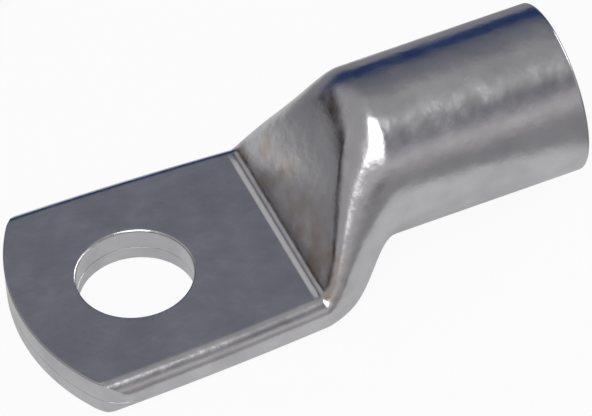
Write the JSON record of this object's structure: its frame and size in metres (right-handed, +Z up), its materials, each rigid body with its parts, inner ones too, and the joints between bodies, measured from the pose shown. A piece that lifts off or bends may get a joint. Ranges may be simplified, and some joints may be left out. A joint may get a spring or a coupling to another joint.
{
  "type": "copper cable lug",
  "caption": "Tinned tubular crimp lug: a round barrel for a stranded cable, pressed flat into a palm with a stud hole.",
  "frame": {"origin": "the stud hole's centre, halfway through the palm's thickness", "axes": "+X along the lug towards the cable entry, +Z up out of the palm's top face"},
  "size_m": [0.0629, 0.0298, 0.0202],
  "materials": {
    "tinned_copper": "bright tin plate over copper"
  },
  "bodies": {
    "root": {"cable_lug": "tinned_copper"}
  },
  "joints": []
}
